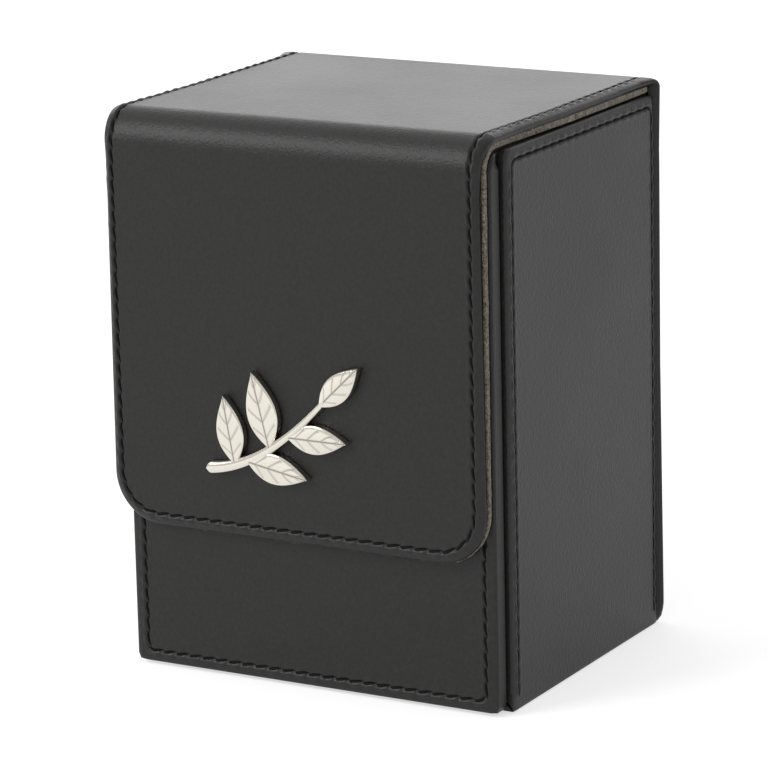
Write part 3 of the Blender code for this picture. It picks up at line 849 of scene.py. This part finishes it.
def make_linings():
    moves = [("run", FLAP_RUN), ("turn", LINING_BEND), ("run", FRONT_LID_RUN)]
    track = Track((FLAP_LINING_HIGH[1], FLAP_LOW[2]), (0, 1), moves)
    make_lining(
        "flap",
        Surface(track, "yz", SKEW, inside=True),
        FLAP_CORNER - WRAP_INSET,
        FLAP_CORNER,
        ("flap_lining", "front_fold_lining", "lid_lining"),
        "front_lining",
    )
    lid = Track((WRAP_SPLIT, LID_LINING_LOW[2]), (1, 0), [("run", LID_SUEDE_END - WRAP_SPLIT)])
    surface = FromFarEnd(Surface(lid, "yz", SKEW, FRONT_LENGTH, inside=True))
    make_lining("lid", surface, SEAM_CORNER, LID_SUEDE_CORNER, ("lid_lining",), None)
    make_fold_strip()


def make_lining(name, surface, corner, edge_corner, nodes, line):
    length = surface.track.length
    seam = Seam((-HALF + WRAP_INSET, WRAP_INSET), (HALF - WRAP_INSET, length), corner, False)
    low, high = (SUEDE_EDGE_LEFT, 0), (SUEDE_EDGE_RIGHT, length)
    edge = Edge(low, high, edge_corner, SUEDE_ROLL, SUEDE_RIM, 3, True, SUEDE_FRAY)
    skin = cover(f"{name}_suede", seam, edge, surface, SUEDE, stations=SUEDE_STATIONS)
    sewing = thread_run(f"{name}_lining_thread", seam, surface)
    dress(skin, "suede", nodes)
    dress(sewing, "thread")
    for piece in (skin, sewing):
        if line:
            fold(piece, line)
        else:
            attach(piece, "lid")


def make_fold_strip():
    """The suede strip between the lid's lining and the well's back wall."""
    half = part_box("rear_fold_lining")[1][0] / MM - STRIP_INSET
    top = LID_LINING_LOW[2] - STRIP_DROP
    moves = [("run", REAR_FOLD_LOW[1] - STRIP_FRONT), ("turn", STRIP_TURN)]
    track = Track((STRIP_FRONT, top), (1, 0), moves)
    s = np.concatenate((np.linspace(0, moves[0][1], 6)[:-1], np.linspace(moves[0][1], track.length, 13)))
    x = np.linspace(-half, half, 60)
    across, along = np.meshgrid(x, s)
    points = Surface(track, "yz").points(across, along, STRIP_RIPPLE * np.sin(across * 0.9 + along))
    obj = new_mesh("rear_fold_strip", points, grid_faces(len(s), len(x)))
    face_outwards(obj)
    apply_modifier(obj, "SOLIDIFY", thickness=STRIP_THICKNESS * MM, offset=0.0)
    smooth(obj, SMOOTH_LINING)
    dress(obj, "suede", ["rear_fold_lining"])
    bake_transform(obj)


# ---- The sewn panels on the box ----


def make_front_panel():
    turn = PANEL_HIGH[2] - FRONT_FOLD_LOW[2]
    run = FRONT_FOLD_LOW[2] - PANEL_LOW[2]
    track = Track((PANEL_LOW[1], PANEL_LOW[2]), (0, 1), [("run", run), ("turn", turn)])
    surface = Surface(track, "yz")
    low, high = (PANEL_LOW[0] - PANEL_PROUD, 0), (PANEL_HIGH[0] + PANEL_PROUD_RIGHT, track.length)
    seam_low = (PANEL_LOW[0] + PANEL_INSET, PANEL_INSET)
    seam = Seam(seam_low, (PANEL_HIGH[0] - PANEL_INSET, run - PANEL_INSET), SEAM_CORNER, True)
    edge = Edge(low, high, EDGE_CORNER, PANEL_ROLL, turn - PANEL_RIM_GAP, 4, open_top=True)
    skin = cover("front_panel_leather", seam, edge, surface, LEATHER)
    sewing = thread_run("front_panel_thread", seam, surface)
    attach(dress(skin, "leatherette", ["front_panel_cover"]), "box")
    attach(dress(sewing, "thread", ["front_panel_stitching"]), "box")


SIDE_BEND = 0.3  # radius
SIDE_STATIONS = 6  # mesh lines to a stitch
SIDE_STITCH = 3.15
SIDE_LEAN = 0.1  # how far a stitch runs to each side of its seam's line
SIDE_RIM = 1.9
SIDE_PLAIN_ROLL = 0.35  # share of the border's roll where there is no seam


def make_side_wrap():
    run = SIDES_HIGH[2] - SIDE_BEND
    across = SIDES_HIGH[0] - SIDES_LOW[0] - 2 * SIDE_BEND
    moves = [("run", run), ("turn", SIDE_BEND), ("run", across), ("turn", SIDE_BEND), ("run", run)]
    track = Track((SIDES_HIGH[0], SIDES_HIGH[2]), (0, -1), moves)
    surface = Surface(track, "xz")
    low, high = (SIDES_LOW[1], 0), (SIDES_HIGH[1], track.length)

    def live(along):
        height = SIDES_HIGH[2] - np.minimum(along, track.length - along)
        return np.clip((height - SIDE_SEAM_FOOT) / 0.5, 0, 1)

    seam_low, seam_high = (low[0] + SIDE_INSET, SIDE_INSET), (high[0] - SIDE_REAR_INSET, high[1] - SIDE_INSET)
    seam = Seam(seam_low, seam_high, SEAM_CORNER, True, SIDE_STITCH, live, SIDE_LEAN)
    places = np.arange(0, track.length, 0.25)
    roll_share = SIDE_PLAIN_ROLL + (1 - SIDE_PLAIN_ROLL) * live(places)
    depths = tuple(zip(places, SIDE_ROLL[0] * roll_share))
    to_bend = np.minimum(np.abs(places - run), np.abs(places - track.length + run))
    rims = tuple(zip(places, np.minimum(SIDE_RIM, SIDE_BEND - 0.05 + np.maximum(0, to_bend - 0.5))))
    edge = Edge(low, high, EDGE_CORNER, (depths, SIDE_ROLL[1]), rims, 2)
    skin = cover("side_wrap_leather", seam, edge, surface, LEATHER, stations=SIDE_STATIONS)
    sewing = thread_run("side_wrap_thread", seam, surface)
    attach(dress(skin, "leatherette", ["side_wrap_cover"]), "box")
    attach(dress(sewing, "thread", ["left_side_stitching", "right_side_stitching"]), "box")


# ---- The well: suede round the walls, rolled over their rim, and on the floor ----

WELL_CORNER = 1.2
RIM_RADIUS = 0.6
RIM_REACH = 2.1  # the lining goes over the wall's top to its outer face
RIM_RISE = 0.5
RIM_FOOT = RIM_RADIUS * 0.6
ARC_STEPS = 6
WALL_ROWS = 34
WALL_STEP = 1.6  # between mesh lines along a wall
WALL_RIPPLE = 0.07
WELL_SUEDE, FLOOR_SUEDE = 0.4, 0.25  # thickness


def make_wall_lining():
    inner_low, inner_high = WALLS_LOW[:2] + SUEDE, WALLS_HIGH[:2] - SUEDE
    top = INNER_HIGH[2] + RIM_RISE
    outer = RIM_REACH - RIM_FOOT
    arc = [pi / 2 * i / ARC_STEPS for i in range(1, ARC_STEPS + 1)]
    levels = [(0.0, z) for z in np.linspace(WALLS_LOW[2], top - RIM_RADIUS, WALL_ROWS)]
    levels += [(RIM_RADIUS * (1 - cos(turn)), top - RIM_RADIUS * (1 - sin(turn))) for turn in arc]
    levels += [(offset, top) for offset in np.linspace(RIM_RADIUS, outer, 4)[1:]]
    levels += [(outer + RIM_FOOT * sin(turn), top - RIM_FOOT * (1 - cos(turn))) for turn in arc]
    middle, half = (inner_low + inner_high) / 2, (inner_high - inner_low) / 2
    loop = []
    for sx, sy, first in ((1, 1, 0), (-1, 1, 90), (-1, -1, 180), (1, -1, 270)):
        corner = middle + (sx, sy) * (half - WELL_CORNER)
        for k in range(7):
            turn = radians(first + 15 * k)
            loop.append((*corner, cos(turn), sin(turn)))
    sides = []
    for a, b in zip(loop, loop[1:] + loop[:1]):
        gap = np.hypot(a[0] - b[0], a[1] - b[1])
        steps = max(1, int(gap / WALL_STEP))
        sides += [tuple(np.array(a) + (np.array(b) - a) * k / steps) for k in range(steps)]
    ring = np.array(sides)
    squared = ring[:, 2:] / np.abs(ring[:, 2:]).max(1)[:, None]
    draw = np.random.default_rng(4)
    sway = draw.uniform(0, 2 * pi, 6)
    points = []
    for offset, z in levels:
        wave = np.sin(0.21 * ring[:, 0] + sway[0] + 0.11 * z)
        ripple = WALL_RIPPLE * wave * np.sin(0.17 * ring[:, 1] + sway[1] - 0.07 * z)
        reach = WELL_CORNER + ripple * min(1.0, (top - z) / 6 + 0.1)
        across = ring[:, :2] + ring[:, 2:] * reach[:, None] + squared * offset
        points.append(np.column_stack((across, np.full(len(ring), z))))
    obj = new_mesh("well_lining", np.concatenate(points), grid_faces(len(levels), len(ring), closed=True))
    face_outwards(obj)
    centre = obj.data.polygons[len(ring) * 10]
    if centre.normal.dot(Vector((-centre.center.x, -centre.center.y, 0))) < 0:
        in_edit(obj, (bpy.ops.mesh.flip_normals, {}))
    apply_modifier(obj, "SOLIDIFY", thickness=WELL_SUEDE * MM, offset=-1.0)
    smooth(obj, SMOOTH_LINING)
    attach(dress(obj, "suede", ["wall_lining"]), "box")


def make_floor_lining():
    low, high = WELL_FLOOR_LOW, WELL_FLOOR_HIGH
    deselect()
    bpy.ops.mesh.primitive_grid_add(x_subdivisions=60, y_subdivisions=48, size=1)
    obj = bpy.context.object
    obj.name = obj.data.name = "well_floor"
    middle, size = (low + high) / 2, high - low
    for vertex in obj.data.vertices:
        u, v = vertex.co.x * 2, vertex.co.y * 2
        to_edge = min((1 - abs(u)) * size[0] / 2, (1 - abs(v)) * size[1] / 2)
        roll = 0.35 * (1 - min(1.0, to_edge / 1.4)) ** 2
        swell = 0.12 * (1 - u * u) * (1 - v * v) + 0.03 * sin(9 * u + 3 * v) * sin(7 * v - 2 * u)
        x, y = middle[0] + u * size[0] / 2, middle[1] + v * size[1] / 2
        vertex.co = Vector((x, y, high[2] - roll + swell)) * MM
    apply_modifier(obj, "SOLIDIFY", thickness=FLOOR_SUEDE * MM, offset=-1.0)
    smooth(obj, SMOOTH_LINING)
    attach(dress(obj, "suede", ["floor_lining"]), "box")


# ---- The metal sprig on the flap ----

SPRIG_MIDDLE = (-2.2, 52.2)
STEM = ((-16.5, -11.0), (-5.0, -10.5), (8.5, 4.0))  # foot, pull and tip of its curve
STEM_WIDTHS = (1.15, 0.62)  # half the width at its foot and at its tip
STEM_TAPER = 26  # each round end takes up one part in this many of the stem's curve
STEM_ROWS, LEAF_ROWS = 56, 101  # mesh lines along a casting
LEAF_SWELL = 0.22  # half a leaf's width over its length
LEAF_SKEW = 0.85  # under 1, a leaf is widest nearer to its foot
# Where each leaf leaves the stem, its length and its direction in degrees
LEAVES = ((0.26, 13.0, 100), (0.36, 13.0, -10), (0.56, 14.5, 104), (0.70, 12.5, 0), (0.96, 11.5, 44))
SPRIG_THICKNESS = 1.6
CROWN, STEM_CROWN = 0.22, 0.3  # how much lower the edges lie than the middle
ROUND = 0.34  # how far the sprig's edges are rounded
VEIN_DEPTH = 0.05
VEIN_WIDTH = 0.15
VEINS = (0.24, 0.40, 0.55, 0.69)
# Mesh lines from a casting's middle to its edge, as shares of its half width
HALF_LINES = np.array(
    (0.012, 0.03, 0.06, 0.1, 0.16, 0.24, 0.34, 0.45, 0.56, 0.67, 0.77, 0.85, 0.91, 0.95, 0.975, 0.99, 1.0)
)


def stem_at(t):
    a, b, c = (np.array(p) for p in STEM)
    place = a * (1 - t) ** 2 + b * 2 * t * (1 - t) + c * t * t
    way = (b - a) * (1 - t) + (c - b) * t
    return place, way / np.linalg.norm(way)


def casting(name, spine, headings, halves, relief):
    """A flat-backed casting along a spine: crowned, with rounded edges and a closed wall to its back."""
    front, back = EMBLEM_LOW[1], EMBLEM_LOW[1] + SPRIG_THICKNESS
    u = np.concatenate((-HALF_LINES[::-1], (0.0,), HALF_LINES))
    rows, points, cuts = len(spine), [], []
    for k, (place, heading, half) in enumerate(zip(spine, headings, halves)):
        across = np.array((-heading[1], heading[0]))
        margin = (1 - np.abs(u)) * half
        inner = np.clip(1 - margin / ROUND, 0, 1)
        crown, cut = relief(k / (rows - 1), u, half)
        depth = ROUND * (1 - np.sqrt(1 - inner**2)) + crown + VEIN_DEPTH * cut
        cuts.append(cut)
        flat = place + across * (u * half)[:, None] + np.array(SPRIG_MIDDLE)
        points.append(np.column_stack((flat[:, 0], front + depth, flat[:, 1])))
    columns = len(u)
    face = np.concatenate(points)
    rear = face.copy()
    rear[:, 1] = back
    faces = grid_faces(rows, columns) + grid_faces(rows, columns, start=len(face))
    rim = [*range(columns), *(r * columns + columns - 1 for r in range(1, rows))]
    rim += [*range(rows * columns - 2, (rows - 1) * columns - 1, -1)]
    rim += [r * columns for r in range(rows - 2, 0, -1)]
    for a, b in zip(rim, rim[1:] + rim[:1]):
        faces.append((a, b, b + len(face), a + len(face)))
    obj = new_mesh(name, np.concatenate((face, rear)), faces)
    # The grooves' share, which the nickel finish uses to paint shade into the veins
    engraving = obj.data.attributes.new("engraving", "FLOAT", "POINT")
    engraving.data.foreach_set("value", np.concatenate((*cuts, np.zeros(len(rear)))))
    in_edit(
        obj,
        (bpy.ops.mesh.remove_doubles, {"threshold": 0.004 * MM}),
        (bpy.ops.mesh.dissolve_degenerate, {"threshold": 0.002 * MM}),
        (bpy.ops.mesh.normals_make_consistent, {"inside": False}),
    )
    return obj


def leaf_relief(t, u, half):
    """How far a leaf's face lies below its middle, and how deep the cut of its veins is, from 0 to 1."""
    cut = np.exp(-((u * half / VEIN_WIDTH) ** 2)) * (t < 0.9)
    for vein in VEINS:
        from_line = (t - vein - 0.16 * np.abs(u)) * 13.0
        cut = np.maximum(cut, 0.75 * np.exp(-((from_line / VEIN_WIDTH) ** 2)) * (np.abs(u) < 0.8))
    return CROWN * u**2, cut


def stem_relief(t, u, half):
    return STEM_CROWN * u**2, np.zeros_like(u)


def make_sprig():
    parts = []
    t = (1 - np.cos(np.linspace(0, pi, STEM_ROWS))) / 2
    at = [stem_at(v) for v in t]
    halves = STEM_WIDTHS[0] + (STEM_WIDTHS[1] - STEM_WIDTHS[0]) * t
    ends = np.clip(1 - np.minimum(t, 1 - t) * STEM_TAPER, 0, 1)
    halves = np.maximum(halves * np.sqrt(1 - ends**2), 0.03)
    parts.append(casting("sprig", [a for a, _ in at], [h for _, h in at], halves, stem_relief))
    for i, (where, length, direction) in enumerate(LEAVES):
        heading = np.array((cos(radians(direction)), sin(radians(direction))))
        s = (1 - np.cos(np.linspace(0, pi, LEAF_ROWS))) / 2
        spine = [stem_at(where)[0] + heading * length * v for v in s]
        half = np.maximum(LEAF_SWELL * length * np.sin(pi * s**LEAF_SKEW), 0.001)
        parts.append(casting(f"sprig_leaf_{i}", spine, [heading] * len(s), half, leaf_relief))
    sprig = parts[0]
    only(sprig)
    for part in parts[1:]:
        part.select_set(True)
    bpy.ops.object.join()
    smooth(sprig, SMOOTH_METAL)
    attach(dress(sprig, "nickel", ["emblem"]), "flap")


make_wrap()
make_linings()
make_front_panel()
make_side_wrap()
make_wall_lining()
make_floor_lining()
make_sprig()

# ---- Camera, light and floor ----

LENS, SENSOR = 193.601, 36.0
CAMERA_PLACE = (367.38, -651.31, 239.50)
CAMERA_AZIMUTH, CAMERA_ELEVATION, CAMERA_ROLL = 29.5797, 14.2018, -1.29536
WORLD_STRENGTH = 0.8
FLOOR_SIZE, FLOOR_GAP = 6, 0.0001
LIGHT_TARGET = (0, 0, 0.1)
LIGHTS = (
    # name, place, size, power
    ("soft_box", (-0.60, -0.86, 0.80), (0.5, 0.7), 9.4),
    ("overhead", (-0.62, 0.27, 1.25), (1.2, 0.8), 1.8),
    ("back_panel", (-0.75, 1.33, 0.48), (2.2, 0.9), 11.0),
)


def make_camera():
    azimuth, elevation, roll = (radians(v) for v in (CAMERA_AZIMUTH, CAMERA_ELEVATION, CAMERA_ROLL))
    back = Vector((sin(azimuth) * cos(elevation), -cos(azimuth) * cos(elevation), sin(elevation)))
    right = (-back).cross(Vector((0, 0, 1))).normalized()
    up = right.cross(-back)
    turned_right = right * cos(roll) + up * sin(roll)
    turned_up = up * cos(roll) - right * sin(roll)
    data = bpy.data.cameras.new("camera")
    data.lens, data.sensor_width = LENS, SENSOR
    data.clip_start, data.clip_end = 0.05, 20
    camera = bpy.data.objects.new("camera", data)
    bpy.context.scene.collection.objects.link(camera)
    turn = Matrix((turned_right, turned_up, back)).transposed().to_4x4()
    camera.matrix_world = Matrix.Translation(Vector(CAMERA_PLACE) * MM) @ turn
    bpy.context.scene.camera = camera


def area_light(name, place, size, power):
    data = bpy.data.lights.new(name, "AREA")
    data.shape, data.size, data.size_y, data.energy = "RECTANGLE", size[0], size[1], power
    light = bpy.data.objects.new(name, data)
    bpy.context.scene.collection.objects.link(light)
    light.location = place
    light.rotation_euler = (Vector(LIGHT_TARGET) - Vector(place)).to_track_quat("-Z", "Y").to_euler()


def make_studio():
    world = bpy.data.worlds.new("studio")
    world.use_nodes = True
    background = world.node_tree.nodes["Background"]
    background.inputs["Color"].default_value = (1, 1, 1, 1)
    background.inputs["Strength"].default_value = WORLD_STRENGTH
    bpy.context.scene.world = world
    bpy.context.scene.view_settings.view_transform = "Standard"
    deselect()
    bpy.ops.mesh.primitive_plane_add(size=FLOOR_SIZE, location=(0, 0, cad_low.z - FLOOR_GAP))
    floor = bpy.context.object
    floor.name = "floor"
    floor.data.transform(floor.matrix_world)
    floor.matrix_world = Matrix.Identity(4)
    floor.data.materials.append(studio_white())
    for light in LIGHTS:
        area_light(*light)


make_camera()
make_studio()
